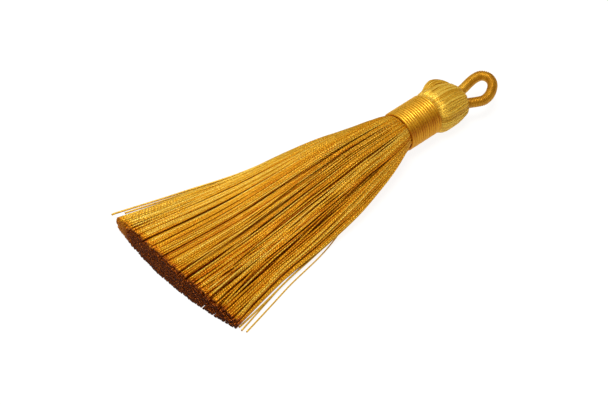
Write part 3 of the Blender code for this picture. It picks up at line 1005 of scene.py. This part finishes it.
def head_material():
    """The paler threads of the head, and the strays."""
    stops = (
        (0.0, (0.25, 0.07, 0.001)),
        (0.3, (0.62, 0.32, 0.016)),
        (0.6, (0.82, 0.53, 0.06)),
        (1.0, (0.93, 0.71, 0.15)),
    )
    return silk_material(
        "folded_silk_yarn", stops,
        roughness=0.36, metallic=0.4, bead_mm=1.2, plies=1, relief_mm=0.02, mottle=0.05, groove=0.15,
    )


def binding_material():
    """The bright thread of the neck binding."""
    stops = (
        (0.0, (0.4, 0.12, 0.002)),
        (0.5, (0.74, 0.37, 0.018)),
        (1.0, (0.92, 0.58, 0.07)),
    )
    return silk_material(
        "bright_silk_thread", stops,
        roughness=0.38, metallic=0.6, bead_mm=1.4, plies=2, relief_mm=0.02, mottle=0.04, groove=0.25,
    )


def cord_material():
    """The amber cover of the loop's cord."""
    stops = (
        (0.0, (0.25, 0.07, 0.001)),
        (0.5, (0.58, 0.275, 0.013)),
        (1.0, (0.8, 0.5, 0.055)),
    )
    return silk_material(
        "amber_covered_cord", stops,
        roughness=0.38, metallic=0.5, bead_mm=0.8, plies=2, relief_mm=0.008, mottle=0.02, groove=0.25,
    )


def core_material():
    """The yarn under the threads of the head and the neck, darkened as painted shade."""
    stops = (
        (0.0, (0.08, 0.018, 0.0005)),
        (0.5, (0.2, 0.06, 0.001)),
        (1.0, (0.3, 0.1, 0.002)),
    )
    return silk_material(
        "shaded_inner_yarn", stops,
        roughness=0.6, metallic=0.2, bead_mm=1.1, plies=2, relief_mm=0.03, mottle=0.06, groove=0.2,
    )


def cut_end_material():
    """The cut faces of the threads, dark because light runs into them, and with the cut end's painted
    shade and light carried by the tone.
    """
    material, tree, shader = new_material("cut_silk_ends", CUT_END_COLOUR, CUT_END_ROUGHNESS)
    shader.inputs["Specular IOR Level"].default_value = MATT_SPECULAR
    place, tone = attribute(tree, "thread_place", "Vector"), attribute(tree, "tone", "Fac")
    grain = (("Vector", place), ("Scale", CUT_END_GRAIN), ("Detail", CUT_END_DETAIL))
    noise = add_node(tree, "ShaderNodeTexNoise", grain).outputs["Fac"]
    shade = maths(tree, "MULTIPLY_ADD", noise, CUT_END_MOTTLE, tone)
    stops = (
        (0.0, (0.022, 0.003, 0.0002)),
        (0.25, (0.11, 0.02, 0.001)),
        (0.6, (0.4, 0.14, 0.006)),
    )
    tree.links.new(colour_ramp(tree, shade, stops), shader.inputs["Base Color"])
    return material


# Floor, lights and camera

def make_floor():
    """A plain white floor that glows a little, so that it renders as the photo's white ground."""
    mesh = bpy.data.meshes.new("studio_floor")
    half = FLOOR_HALF_SIZE
    corners = [(-half, -half, 0.0), (half, -half, 0.0), (half, half, 0.0), (-half, half, 0.0)]
    mesh.from_pydata(corners, [], [(0, 1, 2, 3)])
    material, _, shader = new_material("white_studio_floor", FLOOR_COLOUR, FLOOR_ROUGHNESS)
    shader.inputs["Specular IOR Level"].default_value = MATT_SPECULAR
    shader.inputs["Emission Color"].default_value = (1.0, 1.0, 1.0, 1.0)
    shader.inputs["Emission Strength"].default_value = FLOOR_GLOW
    mesh.materials.append(material)
    floor = bpy.data.objects.new("studio_floor", mesh)
    bpy.context.scene.collection.objects.link(floor)


def add_softbox(softbox):
    """A square area light that faces the tassel."""
    light = bpy.data.lights.new(softbox.name, "AREA")
    light.size = softbox.size
    light.energy = softbox.watts
    light.color = softbox.colour
    lamp = bpy.data.objects.new(softbox.name, light)
    lamp.location = softbox.place
    lamp.rotation_euler = (-Vector(softbox.place)).to_track_quat("-Z", "Y").to_euler()
    bpy.context.scene.collection.objects.link(lamp)


def make_lights():
    """Two softboxes overhead, and warm light from all round."""
    world = bpy.data.worlds.new("studio_surroundings")
    world.use_nodes = True
    background = world.node_tree.nodes["Background"]
    background.inputs["Color"].default_value = (*SURROUNDINGS_COLOUR, 1.0)
    background.inputs["Strength"].default_value = SURROUNDINGS_STRENGTH
    bpy.context.scene.world = world
    for softbox in SOFTBOXES:
        add_softbox(softbox)


def make_camera():
    """The camera at the photo's angle, from above and in front of the cut end."""
    camera = bpy.data.cameras.new("studio_camera")
    camera.lens = CAMERA_LENS
    camera.sensor_width = CAMERA_SENSOR
    camera.clip_start = CAMERA_NEAREST
    camera.clip_end = CAMERA_FARTHEST
    view = bpy.data.objects.new("studio_camera", camera)
    view.location = CAMERA_PLACE
    level = (CAMERA_AIM - CAMERA_PLACE).to_track_quat("-Z", "Y")
    view.rotation_euler = (level @ Quaternion((0.0, 0.0, 1.0), CAMERA_ROLL)).to_euler()
    bpy.context.scene.collection.objects.link(view)
    bpy.context.scene.camera = view


def main():
    make_camera()
    skirt, head, cut_ends = skirt_material(), head_material(), cut_end_material()
    make_skirt([skirt, cut_ends])
    make_strays([head, cut_ends])
    make_head(head)
    make_core(core_material())
    make_binding(binding_material())
    make_loop(cord_material())
    make_floor()
    make_lights()
    bpy.context.scene.view_settings.view_transform = "Standard"


main()
